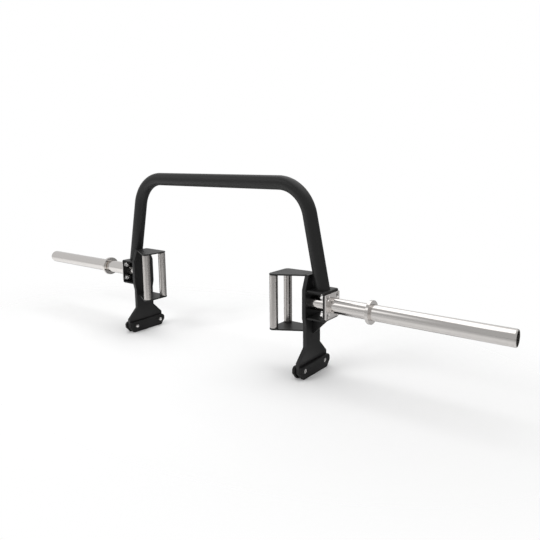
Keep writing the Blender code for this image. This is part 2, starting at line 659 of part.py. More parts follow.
def fixed_sleeve_parts(side, half):
    """Stub tube from the side plate outwards, its support ring, the spindle and what holds the sleeve."""
    bore = round_bore(SLEEVE_RADIUS - STUB_WALL, TUBE_SIDES)
    reach = STUB_END_X - STUB_X
    stub = [(0.0, SLEEVE_RADIUS), (reach, SLEEVE_RADIUS), (reach, bore), (0.0, bore)]
    turned(f"{side}_stub_tube", stub, TUBE_SIDES, True, "chrome", (STUB_X, 0.0, 0.0), half)
    plain_ring(f"{side}_support_ring", SUPPORT_RING_LENGTH, SPINDLE_RADIUS + FIT_GAP,
               SLEEVE_RADIUS - STUB_WALL - FIT_GAP, "zinc_steel", STUB_END_X - SUPPORT_RING_LENGTH, half)
    plain_ring(f"{side}_thrust_washer", THRUST_WASHER_THICKNESS, SPINDLE_RADIUS + FIT_GAP,
               THRUST_WASHER_RADIUS, "bronze", THRUST_WASHER_X, half)
    groove_start = RETAINING_RING_X - FIT_GAP - SPINDLE_X
    groove_end = groove_start + RETAINING_RING_THICKNESS + 2.0 * FIT_GAP
    groove_radius = SPINDLE_RADIUS - RETAINING_GROOVE_DEPTH
    length = SPINDLE_END_X - SPINDLE_X
    edge = TURNED_EDGE
    spindle = [
        (0.0, SPINDLE_RADIUS - edge),
        (edge, SPINDLE_RADIUS),
        (groove_start, SPINDLE_RADIUS),
        (groove_start, groove_radius),
        (groove_end, groove_radius),
        (groove_end, SPINDLE_RADIUS),
        (length - edge, SPINDLE_RADIUS),
        (length, SPINDLE_RADIUS - edge),
    ]
    turned(f"{side}_spindle", spindle, SHAFT_SIDES, False, "brushed_steel", (SPINDLE_X, 0.0, 0.0), half)
    plain_ring(f"{side}_retaining_washer", RETAINING_WASHER_THICKNESS, SPINDLE_RADIUS + FIT_GAP,
               RETAINING_WASHER_RADIUS, "zinc_steel", RETAINING_WASHER_X, half)
    plain_ring(f"{side}_retaining_ring", RETAINING_RING_THICKNESS, groove_radius + FIT_GAP,
               RETAINING_RING_RADIUS, "zinc_steel", RETAINING_RING_X, half)


def spinning_sleeve_parts(side, half):
    """Sleeve tube, collar, bushes and end cap, which turn together about the sleeve axis."""
    bore = round_bore(SLEEVE_BORE, TUBE_SIDES)
    recess = round_bore(SLEEVE_RADIUS - END_RECESS_WALL, TUBE_SIDES)
    length = SLEEVE_END_X - SLEEVE_X
    recess_floor = END_RECESS_X - SLEEVE_X
    tube = [
        (0.0, SLEEVE_RADIUS),
        (length - SLEEVE_END_CHAMFER_LENGTH, SLEEVE_RADIUS),
        (length, SLEEVE_RADIUS - SLEEVE_END_CHAMFER_DEPTH),
        (length, recess),
        (recess_floor, recess),
        (recess_floor, bore),
        (0.0, bore),
    ]
    turned(f"{side}_sleeve_tube", tube, TUBE_SIDES, True, "chrome", (SLEEVE_X, 0.0, 0.0), half)
    edge = TURNED_EDGE
    collar_bore = round_bore(SLEEVE_RADIUS + FIT_GAP, TUBE_SIDES)
    collar = [
        (0.0, COLLAR_RADIUS - edge),
        (edge, COLLAR_RADIUS),
        (COLLAR_WIDTH - edge, COLLAR_RADIUS),
        (COLLAR_WIDTH, COLLAR_RADIUS - edge),
        (COLLAR_WIDTH, collar_bore),
        (0.0, collar_bore),
    ]
    turned(f"{side}_collar", collar, TUBE_SIDES, True, "chrome", (SLEEVE_X, 0.0, 0.0), half)
    for place, x in (("inner", SLEEVE_X), ("outer", OUTER_BUSH_X)):
        plain_ring(f"{side}_{place}_bush", BUSH_LENGTH, SPINDLE_RADIUS + RUNNING_GAP, SLEEVE_BORE - FIT_GAP,
                   "bronze", x, half)
    radius = SLEEVE_RADIUS - END_RECESS_WALL - FIT_GAP
    dish = END_CAP_THICKNESS - END_CAP_DISH
    cap = [
        (0.0, radius),
        (END_CAP_THICKNESS - edge, radius),
        (END_CAP_THICKNESS, radius - edge),
        (END_CAP_THICKNESS, radius - END_CAP_RIM),
        (dish, radius - END_CAP_RIM),
    ]
    place = (END_RECESS_X + FIT_GAP, 0.0, 0.0)
    turned(f"{side}_end_cap", cap, TUBE_SIDES, False, "black_plastic", place, half)


def build():
    """Clear the scene, then build the arch and both halves."""
    for old in list(bpy.data.objects):
        bpy.data.objects.remove(old, do_unlink=True)
    arch()
    for side, turn, mirror in (("right", 0.0, 1.0), ("left", math.pi, -1.0)):
        half = half_space(f"{side}_half", turn)
        side_plate(side, half)
        foot_pads(side, half)
        foot_screws(side, half, mirror)
        cassette(side, half, mirror)
        bracket(side, half)
        flange(side, half)
        flange_bolts(side, half, mirror)
        fixed_sleeve_parts(side, half)
        spinning_sleeve_parts(side, half)


build()
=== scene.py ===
import math

import bpy
import numpy as np
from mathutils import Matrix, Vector
from mathutils.geometry import tessellate_polygon


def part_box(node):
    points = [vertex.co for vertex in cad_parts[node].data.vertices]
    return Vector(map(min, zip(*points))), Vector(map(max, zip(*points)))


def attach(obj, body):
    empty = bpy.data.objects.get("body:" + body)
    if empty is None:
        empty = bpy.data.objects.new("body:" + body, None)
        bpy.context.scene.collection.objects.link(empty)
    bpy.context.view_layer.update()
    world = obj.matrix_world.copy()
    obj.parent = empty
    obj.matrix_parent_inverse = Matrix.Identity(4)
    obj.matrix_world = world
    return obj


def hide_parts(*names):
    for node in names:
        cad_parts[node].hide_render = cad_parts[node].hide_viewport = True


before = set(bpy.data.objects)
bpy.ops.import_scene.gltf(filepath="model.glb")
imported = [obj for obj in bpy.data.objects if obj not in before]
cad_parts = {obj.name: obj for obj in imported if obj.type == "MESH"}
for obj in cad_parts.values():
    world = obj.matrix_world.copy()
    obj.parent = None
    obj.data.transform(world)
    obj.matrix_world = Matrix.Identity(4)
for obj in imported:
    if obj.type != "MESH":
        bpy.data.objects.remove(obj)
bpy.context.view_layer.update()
print("frame loaded,", len(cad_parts), "nodes")

halves = (("right", 1.0), ("left", -1.0))
axisZ = 0.5 * (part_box("right_collar")[0].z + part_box("right_collar")[1].z)

# Surfaces
# a surface is a dictionary of verts (n, 3), quads (m, 4), tris (k, 3) and edge (n), up to 1 on rounded edges
rounding = {
    "stepDegrees": 6.0,  # of an arc's chords
    "leastSteps": 2,
    "arcSupport": 0.0004,  # straight strip at each end of an arc
    "shortest": 1e-6,  # closer points become one
    "edgeSteps": 5,  # of a plate's rounded edge
    "edgeSupport": 0.0005,  # flat strip inside it
    "holeSides": 48,
    "sharpAngle": 32.0,  # degrees from which an edge is shaded sharp
}


def ringAngles(sides):
    return np.linspace(0.0, math.tau, sides, endpoint=False)


def surface(verts, quads, tris=(), edge=None):
    verts = np.asarray(verts, float).reshape(-1, 3)
    edge = np.zeros(len(verts)) if edge is None else edge
    return {"verts": verts, "quads": quads, "tris": np.array(tris, int).reshape(-1, 3), "edge": edge}


def gridQuads(rows, columns, closeRows, closeColumns):
    # quads between neighbouring points of a rows x columns grid, wrapping where it is closed
    i = np.arange(rows if closeRows else rows - 1)[:, None]
    j = np.arange(columns if closeColumns else columns - 1)[None, :]
    up, across = (i + 1) % rows, (j + 1) % columns
    corners = [i * columns + j, i * columns + across, up * columns + across, up * columns + j]
    return np.stack(corners, -1).reshape(-1, 4)


def signedVolume(part):
    # a sixth of the sum of a . (b x c) over the triangles
    quads = part["quads"]
    corners = np.concatenate([quads[:, [0, 1, 2]], quads[:, [0, 2, 3]], part["tris"]])
    a, b, c = (part["verts"][corners[:, k]] for k in range(3))
    return np.einsum("ij,ij->", a, np.cross(b, c)) / 6.0


def linked(name, data):
    # a new object with this mesh, lamp or camera
    thing = bpy.data.objects.new(name, data)
    bpy.context.scene.collection.objects.link(thing)
    return thing


def addPiece(name, part, finish, body, node, sharp=rounding["sharpAngle"]):
    # puts a surface into a mesh with its faces outwards, hangs it on its body and takes its CAD node's place
    material, slotName = finish
    quads, tris = part["quads"], part["tris"]
    if signedVolume(part) < 0.0:
        quads, tris = quads[:, ::-1], tris[:, ::-1]
    loops = np.concatenate([quads.ravel(), tris.ravel()]).astype(np.int32)
    counts = np.repeat([4, 3], [len(quads), len(tris)])
    starts = (np.cumsum(counts) - counts).astype(np.int32)
    mesh = bpy.data.meshes.new(name)
    mesh.vertices.add(len(part["verts"]))
    mesh.vertices.foreach_set("co", part["verts"].astype(np.float32).ravel())
    mesh.loops.add(len(loops))
    mesh.loops.foreach_set("vertex_index", loops)
    mesh.polygons.add(len(counts))
    mesh.polygons.foreach_set("loop_start", starts)
    mesh.update(calc_edges=True)
    mesh.validate()
    mesh.shade_smooth()
    mesh.set_sharp_from_angle(angle=math.radians(sharp))
    mask = mesh.attributes.new("edgeMask", "FLOAT", "POINT")
    mask.data.foreach_set("value", part["edge"].astype(np.float32))
    mesh.materials.append(material)
    piece = linked(name, mesh)
    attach(piece, body)
    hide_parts(node)


def addPair(node, part, finish, moving=False, sharp=rounding["sharpAngle"]):
    # the right-hand piece as computed and its mirror image on the left, both named after their nodes
    name = "".join(word.capitalize() for word in node.split("_"))
    for side, sign in halves:
        mirrored = dict(part, verts=part["verts"] * (sign, 1.0, 1.0))
        body = f"{side}_sleeve" if moving else "frame"
        addPiece(side + name, mirrored, finish, body, f"{side}_{node}", sharp)


def filletPath(corners, stepDegrees=rounding["stepDegrees"]):
    # polyline through corners (u, v, radius), each an arc of its radius with a support point at both ends
    corners = np.array(corners, float)
    support = rounding["arcSupport"]
    points = []
    for i, (u, v, radius) in enumerate(corners):
        here = np.array([u, v])
        if radius <= 0.0:
            points.append(here)
            continue
        before, after = (corners[k % len(corners), :2] - here for k in (i - 1, i + 1))
        before /= np.linalg.norm(before)
        after /= np.linalg.norm(after)
        opening = math.acos(np.clip(before @ after, -1.0, 1.0))
        reach = radius / math.tan(opening / 2.0)
        middle = (before + after) / np.linalg.norm(before + after)
        centre = here + middle * radius / math.sin(opening / 2.0)
        first, last = here + before * reach - centre, here + after * reach - centre
        sweep = math.pi - opening
        turnSign = np.sign(first[0] * last[1] - first[1] * last[0])
        steps = max(rounding["leastSteps"], math.ceil(math.degrees(sweep) / stepDegrees))
        angles = turnSign * sweep * np.arange(steps + 1) / steps
        arc = np.stack([first[0] * np.cos(angles) - first[1] * np.sin(angles),
                        first[0] * np.sin(angles) + first[1] * np.cos(angles)], 1)
        points += [here + before * (reach + support), *(centre + arc), here + after * (reach + support)]
    points = np.array(points)
    following = np.roll(points, -1, 0) - points
    return points[np.linalg.norm(following, axis=1) > rounding["shortest"]]


def insetLoop(loop, distance):
    # a closed anticlockwise loop with its edges moved inwards, each corner along its mitre
    into = loop - np.roll(loop, 1, 0)
    out = np.roll(loop, -1, 0) - loop
    into /= np.linalg.norm(into, axis=1)[:, None]
    out /= np.linalg.norm(out, axis=1)[:, None]
    first = np.stack([-into[:, 1], into[:, 0]], 1)
    second = np.stack([-out[:, 1], out[:, 0]], 1)
    stretch = 1.0 + np.einsum("ij,ij->i", first, second)
    return loop + (first + second) * (distance / stretch)[:, None]


def flatFace(loops, upwards, numbers):
    # triangles between an outline and its holes' rims at one height, in the whole surface's point numbers
    polygon = [[Vector((u, v, 0.0)) for u, v in loop] for loop in loops]
    flat = np.concatenate(loops)
    tris = np.array(tessellate_polygon(polygon), int)
    a, b, c = (flat[tris[:, k]] for k in range(3))
    area = (b[:, 0] - a[:, 0]) * (c[:, 1] - a[:, 1]) - (b[:, 1] - a[:, 1]) * (c[:, 0] - a[:, 0])
    wrong = (area < 0.0) if upwards else (area > 0.0)
    tris[wrong] = tris[wrong][:, ::-1]
    return np.concatenate(numbers)[tris]


def roundedPlate(outline, thickness, edgeRadius, holes=()):
    # an outline carried up a profile of two quarter rounds and closed by two flat faces; a hole is
    # (u, v, steps), a ring at each step (height, radius)
    outline = np.asarray(outline, float)
    following = np.roll(outline, -1, 0)
    area = 0.5 * np.sum(outline[:, 0] * following[:, 1] - following[:, 0] * outline[:, 1])
    outline = outline if area > 0.0 else outline[::-1]  # anticlockwise
    turn = np.radians(np.linspace(0.0, 90.0, rounding["edgeSteps"] + 1))
    lowInset = edgeRadius * (1.0 - np.sin(turn))
    lowHeight = edgeRadius * (1.0 - np.cos(turn))
    rubbed = np.sin(2.0 * turn) * 0.5 + 0.5
    flat = [edgeRadius + rounding["edgeSupport"]]
    insets = np.concatenate([flat, lowInset, lowInset[::-1], flat])
    heights = np.concatenate([[0.0], lowHeight, thickness - lowHeight[::-1], [thickness]])
    worn = np.concatenate([[0.0], rubbed, rubbed[::-1], [0.0]])
    grids = [np.array([np.column_stack([insetLoop(outline, inset), np.full(len(outline), height)])
                       for inset, height in zip(insets, heights)])]
    angles = ringAngles(rounding["holeSides"])
    for u, v, steps in holes:
        height, radius = np.array(steps).T[:, :, None]
        ring = [u + radius * np.cos(angles), v + radius * np.sin(angles), height + 0.0 * angles]
        grids.append(np.stack(ring, -1))
    sizes = [grid[:, :, 0].size for grid in grids]
    starts = np.cumsum([0] + sizes)
    numbers = [start + np.arange(size).reshape(grid.shape[:2])
               for start, size, grid in zip(starts, sizes, grids)]
    quads = [gridQuads(*grid.shape[:2], False, True) + start for start, grid in zip(starts, grids)]
    quads[1:] = [inner[:, ::-1] for inner in quads[1:]]
    faces = [flatFace([grid[row][:, :2] for grid in grids], upwards, [number[row] for number in numbers])
             for row, upwards in ((0, False), (-1, True))]
    verts = np.concatenate([grid.reshape(-1, 3) for grid in grids])
    edge = np.zeros(len(verts))
    edge[:sizes[0]] = np.repeat(worn, len(outline))
    return surface(verts, np.concatenate(quads), np.concatenate(faces), edge)


def holeSteps(bore, thickness, recess=()):
    # a hole's steps: the bore up to its recess, whose own steps are (depth below the face, radius)
    floor = thickness - recess[0][0] if recess else thickness
    return [(0.0, bore), (floor, bore)] + [(thickness - depth, radius) for depth, radius in recess]


def standing(part, axis, base):
    # lays a plate's (u, v, w) on the bar's axes, w along the named axis, from a base point
    order = {"X": (2, 0, 1), "Y": (0, 2, 1), "Z": (0, 1, 2)}[axis]
    return dict(part, verts=part["verts"][:, order] + base)


def spun(along, radii, centre, closed=False):
    # point = (x, r sin a, r cos a), with r given for every x and angle; an open one gets a pole at each end
    rows, sides = radii.shape
    angles = ringAngles(sides)
    x = np.repeat(along[:, None], sides, 1)
    verts = np.stack([x, radii * np.sin(angles), radii * np.cos(angles)], -1).reshape(-1, 3)
    tris = ()
    if not closed:
        j = np.arange(sides)
        after, pole, last = (j + 1) % sides, np.full(sides, rows * sides), (rows - 1) * sides
        verts = np.concatenate([verts, [[along[0], 0.0, 0.0], [along[-1], 0.0, 0.0]]])
        fans = [np.stack([pole, after, j], 1), np.stack([pole + 1, last + j, last + after], 1)]
        tris = np.concatenate(fans)
    return surface(verts + centre, gridQuads(rows, sides, closed, True), tris)


def turned(profile, sides, closed=True):
    # a profile (x, radius) spun about the sleeve's axis
    return spun(profile[:, 0], np.repeat(profile[:, 1:], sides, 1), (0.0, 0.0, axisZ), closed)


print("surface functions ready")

# Materials
effects = {  # noise in the shader groups
    "fineNoise": (3.0, 0.55),  # detail and roughness, as the next two
    "broadNoise": (3.0, 0.6),
    "wearNoise": (5.0, 0.65),
    "wearSlope": (4.0, -3.0),  # wear = 4 x (noise + cover) - 3
    "coarseLines": (1.0, 2.0, 0.5),  # scale, detail and roughness
    "fineLines": (4.3, 2.0, 0.6),
    "lineShare": 0.5,  # of each
}


def newNode(tree, kind, inputs, **settings):
    # a shader node with its settings and then its inputs, each a value or another node's output
    node = tree.nodes.new("ShaderNode" + kind)
    for label, value in settings.items():
        setattr(node, label, value)
    feed(tree, node, inputs)
    return node


def feed(tree, node, inputs):
    for label, value in inputs.items():
        if hasattr(value, "is_output"):
            tree.links.new(value, node.inputs[label])
        else:
            node.inputs[label].default_value = value


def mathNode(tree, operation, *values, clamp=False):
    return newNode(tree, "Math", dict(enumerate(values)), operation=operation, use_clamp=clamp).outputs[0]


def noiseNode(tree, vector, scale, detail, roughness):
    inputs = {"Vector": vector, "Scale": scale, "Detail": detail, "Roughness": roughness}
    return newNode(tree, "TexNoise", inputs).outputs["Fac"]


def mixColour(tree, factor, *colours):
    # from the first colour to the second, inputs 6 and 7 of a Mix node for colours; a number is a grey
    first, second = (c if hasattr(c, "is_output") else (*np.broadcast_to(c, 3), 1.0) for c in colours)
    return newNode(tree, "Mix", {0: factor, 6: first, 7: second}, data_type="RGBA").outputs[2]


def nodeGroup(name, inputs, outputs):
    # None stands for a vector input, and all other inputs and outputs are numbers
    group = bpy.data.node_groups.new(name, "ShaderNodeTree")
    for label, value in inputs.items():
        kind = "NodeSocketVector" if value is None else "NodeSocketFloat"
        socket = group.interface.new_socket(label, in_out="INPUT", socket_type=kind)
        if value is not None:
            socket.default_value = value
    for label in outputs:
        group.interface.new_socket(label, in_out="OUTPUT", socket_type="NodeSocketFloat")
    return group, group.nodes.new("NodeGroupInput").outputs, group.nodes.new("NodeGroupOutput")


def buildGrainGroup():
    # fine speckle and slow drift: a height for bump, and both values round 0 for roughness and colour
    inputs = {"Vector": None, "Fine Scale": 900.0, "Broad Scale": 14.0}
    group, given, sink = nodeGroup("fineGrain", inputs, ("Height", "Fine", "Broad"))
    fine = noiseNode(group, given["Vector"], given["Fine Scale"], *effects["fineNoise"])
    broad = noiseNode(group, given["Vector"], given["Broad Scale"], *effects["broadNoise"])
    centred = [mathNode(group, "SUBTRACT", noise, 0.5) for noise in (fine, broad)]
    feed(group, sink, {"Height": fine, "Fine": centred[0], "Broad": centred[1]})
    return group


def buildEdgeGroup():
    # rubbed edges: the edge mask broken up by noise, from 0 to 1
    inputs = {"Mask": 0.0, "Vector": None, "Scale": 60.0, "Cover": 0.5}
    group, given, sink = nodeGroup("edgeWear", inputs, ("Wear",))
    patches = noiseNode(group, given["Vector"], given["Scale"], *effects["wearNoise"])
    raised = mathNode(group, "ADD", patches, given["Cover"])
    sharpened = mathNode(group, "MULTIPLY_ADD", raised, *effects["wearSlope"], clamp=True)
    feed(group, sink, {"Wear": mathNode(group, "MULTIPLY", sharpened, given["Mask"])})
    return group


def buildStreakGroup():
    # lines left by turning or grinding: two sizes of noise on coordinates stretched beforehand
    group, given, sink = nodeGroup("toolLines", {"Vector": None}, ("Height", "Value"))
    coarse = noiseNode(group, given["Vector"], *effects["coarseLines"])
    fine = noiseNode(group, given["Vector"], *effects["fineLines"])
    share = effects["lineShare"]
    both = mathNode(group, "MULTIPLY_ADD", fine, share, mathNode(group, "MULTIPLY", coarse, share))
    feed(group, sink, {"Height": both, "Value": mathNode(group, "SUBTRACT", both, 0.5)})
    return group


grainGroup = buildGrainGroup()
edgeGroup = buildEdgeGroup()
streakGroup = buildStreakGroup()


def newMaterial(name):
    material = bpy.data.materials.new(name)
    material.use_nodes = True
    tree = material.node_tree
    return material, tree, tree.nodes["Principled BSDF"], newNode(tree, "TexCoord", {}).outputs


def stretched(tree, vector, scale):
    return newNode(tree, "Mapping", {"Vector": vector, "Scale": scale}).outputs["Vector"]


def weighted(tree, start, weights, signals, clamp=False):
    # start plus each signal times its weight
    for label, weight in weights.items():
        start = mathNode(tree, "MULTIPLY_ADD", signals[label], weight, start, clamp=clamp)
    return start


def buildFinish(name, v):
    # two tones mottled by noise, a third on rubbed edges; grain, tool lines and wear change the gloss, and
    # the lines or else the grain give the bump
    material, tree, shader, coordinates = newMaterial(name)
    place = coordinates["Object"]
    inputs = {"Vector": place, "Fine Scale": v["grainScales"][0], "Broad Scale": v["grainScales"][1]}
    grain = newNode(tree, "Group", inputs, node_tree=grainGroup).outputs
    signals = {"fine": grain["Fine"], "broad": grain["Broad"]}
    height = grain["Height"]
    if "lineScale" in v:
        inputs = {"Vector": stretched(tree, place, v["lineScale"])}
        lines = newNode(tree, "Group", inputs, node_tree=streakGroup).outputs
        signals["lines"], height = lines["Value"], lines["Height"]
    middle, weights = v["mottle"]
    mottled = weighted(tree, middle, weights, signals, True)
    colour = mixColour(tree, mottled, v["colour"], v["otherColour"])
    if "wornColour" in v:
        mask = newNode(tree, "Attribute", {}, attribute_name="edgeMask").outputs["Fac"]
        inputs = {"Mask": mask, "Vector": place, "Scale": v["wearScale"], "Cover": v["wearCover"]}
        signals["wear"] = newNode(tree, "Group", inputs, node_tree=edgeGroup).outputs["Wear"]
        colour = mixColour(tree, signals["wear"], colour, v["wornColour"])
    bump = newNode(tree, "Bump", {"Strength": v["bump"], "Distance": v["bumpHeight"], "Height": height})
    feed(tree, shader, {
        "Base Color": colour,
        "Metallic": v["metallic"],
        "Roughness": weighted(tree, v["roughness"], v["roughnessFrom"], signals),
        "Specular IOR Level": v["specular"],
        "Normal": bump.outputs["Normal"],
    })
    return material


# satin powder coat: orange-peel bump, slow changes of gloss, slightly paler rubbed edges
powderCoat = {
    "colour": 0.0088,
    "otherColour": 0.01188,
    "mottle": (0.5, {"broad": 1.0}),  # share of the other colour, and what changes it
    "wornColour": 0.022,
    "wearScale": 45.0,
    "wearCover": 0.38,
    "metallic": 0.0,
    "specular": 0.38,
    "roughness": 0.42,
    "roughnessFrom": {"broad": 0.20, "fine": 0.08},
    "grainScales": (750.0, 9.0),  # fine and broad
    "bump": 0.35,
    "bumpHeight": 0.00006,
}

# polished chrome over turned tube: faint rings along the axis, slow haze, slightly scuffed rims
chromePlate = {
    "colour": (0.795, 0.766, 0.743),
    "otherColour": (0.77115, 0.74302, 0.72071),
    "mottle": (0.5, {"broad": 1.0}),
    "wornColour": (0.70, 0.68, 0.66),
    "wearScale": 70.0,
    "wearCover": 0.36,
    "metallic": 1.0,
    "specular": 0.5,
    "roughness": 0.115,
    "roughnessFrom": {"lines": 0.10, "broad": 0.05, "wear": 0.12},
    "grainScales": (260.0, 7.0),
    "lineScale": (1400.0, 18.0, 18.0),
    "bump": 0.25,
    "bumpHeight": 0.000004,
}

# bare or plated steel with tool lines and a mottled tone
knurledSteel = {
    "colour": (0.61, 0.585, 0.565),
    "otherColour": (0.54, 0.515, 0.495),
    "mottle": (0.5, {"broad": 1.0, "lines": 1.0}),
    "metallic": 1.0,
    "specular": 0.5,
    "roughness": 0.28,
    "roughnessFrom": {"lines": 0.22, "fine": 0.10},
    "grainScales": (420.0, 22.0),
    "lineScale": (60.0, 60.0, 700.0),
    "bump": 0.3,
    "bumpHeight": 0.00001,
}
groundSteel = dict(knurledSteel, colour=(0.94, 0.93, 0.92), otherColour=(0.86, 0.85, 0.84), metallic=0.7,
                   roughness=0.26, lineScale=(1100.0, 20.0, 20.0), bumpHeight=0.000005)
brightZinc = dict(knurledSteel, colour=(0.80, 0.79, 0.78), otherColour=(0.69, 0.68, 0.67), roughness=0.2,
                  lineScale=(300.0, 300.0, 300.0), bumpHeight=0.000008)
bushBronze = dict(knurledSteel, colour=(0.58, 0.37, 0.16), otherColour=(0.48, 0.30, 0.13), roughness=0.3,
                  lineScale=(900.0, 30.0, 30.0), bumpHeight=0.000006)

# moulded rubber: fine pebble, pale dust held in the grain
padRubber = {
    "colour": (0.0050, 0.0050, 0.0051),
    "otherColour": (0.012, 0.0117, 0.0113),
    "mottle": (0.35, {"broad": 1.4}),
    "metallic": 0.0,
    "specular": 0.3,
    "roughness": 0.62,
    "roughnessFrom": {"fine": 0.2},
    "grainScales": (1300.0, 18.0),
    "bump": 0.4,
    "bumpHeight": 0.00008,
}

# moulded cap: fine spark texture and faint mould sheen
capPlastic = dict(padRubber, colour=(0.030, 0.030, 0.031), otherColour=(0.042, 0.042, 0.043),
                  mottle=(0.5, {"broad": 1.0}), specular=0.4, roughness=0.45, roughnessFrom={"fine": 0.15},
                  grainScales=(1600.0, 40.0), bump=0.3, bumpHeight=0.00004)

# each finish is a material and the slot that it belongs to
powder = (buildFinish("satinPowderCoat", powderCoat), "black_powder_coat")
chrome = (buildFinish("polishedChrome", chromePlate), "sleeve_chrome")
rubber = (buildFinish("mouldedRubber", padRubber), "pad_rubber")
plastic = (buildFinish("mouldedPlastic", capPlastic), "cap_plastic")
gripSteel = (buildFinish("knurledSteel", knurledSteel), "grip_steel")
spindleSteel = (buildFinish("groundSteel", groundSteel), "spindle_steel")
zincSteel = (buildFinish("brightZinc", brightZinc), "fastener_zinc")
bronze = (buildFinish("bushBronze", bushBronze), "bush_bronze")
print("materials ready")

# Pieces


def boxOf(node):
    # of the right half's node, if each half has one
    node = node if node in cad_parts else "right_" + node
    low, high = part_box(node)
    return np.array(low), np.array(high)


def middleOf(node):
    low, high = boxOf(node)
    return 0.5 * (low + high)


arch = {
    "lean": 11.83,  # degrees of the legs from upright
    "bendRadius": 0.127,  # of the centreline
    "wall": 0.003,
    "sides": 96,
    "bendSteps": 40,
}


def archStations():
    # centreline from the right foot to the left one, as x, z and the direction of travel
    low, high = boxOf("arch_tube")
    radius, bendRadius = 0.5 * (high[1] - low[1]), arch["bendRadius"]
    lean = math.radians(arch["lean"])
    footX = high[0] - radius / math.cos(lean)
    bendZ = high[2] - radius - bendRadius
    legX = footX - (bendZ - low[2]) * math.tan(lean)
    bendX = legX - bendRadius / math.cos(lean)
    angles = np.linspace(lean, math.pi / 2.0, arch["bendSteps"] + 1)
    bend = np.stack([bendX + bendRadius * np.cos(angles), bendZ + bendRadius * np.sin(angles),
                     -np.sin(angles), np.cos(angles)], 1)
    foot = np.array([[footX, low[2], -math.sin(lean), math.cos(lean)]])
    right = np.concatenate([foot, bend])
    left = right[::-1] * (-1.0, 1.0, 1.0, -1.0)
    return np.concatenate([right, left]), radius, low[2]


def archTube():
    # a ring carried along the centreline, outside one way and bore the other, with level cuts at the feet
    stations, radius, footZ = archStations()
    angles = ringAngles(arch["sides"])

    def shell(size):
        x, z, tx, tz = (stations[:, k][:, None] for k in range(4))
        out = size * np.cos(angles)[None]
        y = np.repeat(size * np.sin(angles)[None], len(stations), 0)
        points = np.stack([x + out * tz, y, z - out * tx], -1)
        for row in (0, -1):
            slide = (footZ - points[row, :, 2]) / stations[row, 3]
            points[row, :, 0] += slide * stations[row, 2]
            points[row, :, 2] = footZ
        return points

    grid = np.concatenate([shell(radius), shell(radius - arch["wall"])[::-1]])
    return surface(grid, gridQuads(*grid.shape[:2], True, True))


addPiece("archTube", archTube(), powder, "frame", "arch_tube")
print("arch tube made")

sidePlate = {
    "topHalfWidth": 0.030,
    "bossHalfWidth": 0.048,
    "bossTop": 0.048,  # above the sleeve axis
    "bossDepth": 0.045,  # below it, as the other depths
    "neckHalfWidth": 0.042,
    "neckDepth": 0.071,
    "flareDepth": 0.146,
    "footDepth": 0.188,
    "footChamfer": (0.015, 0.018),
    "topCorner": 0.002,
    "cornerRadius": 0.004,
    "footCorner": 0.003,
    "edgeRadius": 0.0011,
}


def mirroredOutline(corners):
    # corners of the positive half, top to bottom, then their mirror images back up
    return filletPath(corners + [(-u, v, r) for u, v, r in corners[::-1]])


def sidePlatePart():
    # rounded outline across Y and Z: narrow top, boss, neck, flare and foot
    v = sidePlate
    low, high = boxOf("side_plate")
    r = v["cornerRadius"]
    corners = [
        (v["topHalfWidth"], high[2] - axisZ, v["topCorner"]),
        (v["bossHalfWidth"], v["bossTop"], r),
        (v["bossHalfWidth"], -v["bossDepth"], r),
        (v["neckHalfWidth"], -v["neckDepth"], r),
        (v["neckHalfWidth"], -v["flareDepth"], r),
        (high[1], -v["footDepth"], r),
        (high[1], low[2] - axisZ + v["footChamfer"][1], v["footCorner"]),
        (high[1] - v["footChamfer"][0], low[2] - axisZ, v["footCorner"]),
    ]
    plate = roundedPlate(mirroredOutline(corners), high[0] - low[0], v["edgeRadius"])
    return standing(plate, "X", (low[0], 0.0, axisZ))


addPair("side_plate", sidePlatePart(), powder)

footPad = {
    "topChamfer": (0.0075, 0.008),
    "bottomChamfer": (0.0175, 0.021),
    "cornerRadius": 0.003,
    "edgeRadius": 0.0014,
    "screwHole": 0.0046,
    "recess": ((0.006, 0.0084), (0.0006, 0.0084), (0.0, 0.009)),  # depth and radius at floor, lip, mouth
}


def footPadPart(node, recess=()):
    # octagon with a flat sole; the outer pad's screw holes open into round recesses
    v = footPad
    low, high = boxOf(node)
    half, thickness, r = high[1], high[0] - low[0], v["cornerRadius"]
    top, bottom = v["topChamfer"], v["bottomChamfer"]
    corners = [
        (half - top[0], high[2], r),
        (half, high[2] - top[1], r),
        (half, low[2] + bottom[1], r),
        (half - bottom[0], low[2], r),
    ]
    steps = holeSteps(v["screwHole"], thickness, recess)
    holes = [(*middleOf(f"foot_screw_{place}")[1:], steps) for place in ("front", "rear")]
    plate = roundedPlate(mirroredOutline(corners), thickness, v["edgeRadius"], holes)
    return standing(plate, "X", (low[0], 0.0, 0.0))


addPair("foot_pad_outer", footPadPart("foot_pad_outer", footPad["recess"]), rubber)
addPair("foot_pad_inner", footPadPart("foot_pad_inner"), rubber)
print("side plates and pads made")

cassette = {
    "rounding": 0.0145,  # round each grip's axis
    "edgeRadius": 0.0006,
    "arcStep": 5.0,  # degrees
}


def tangentAngle(centre, radius, point, turn):
    # where the line from a point touches a circle: the point's bearing, turned by acos(radius / distance)
    away = np.subtract(point, centre)
    return math.atan2(away[1], away[0]) + turn * math.acos(radius / np.linalg.norm(away))


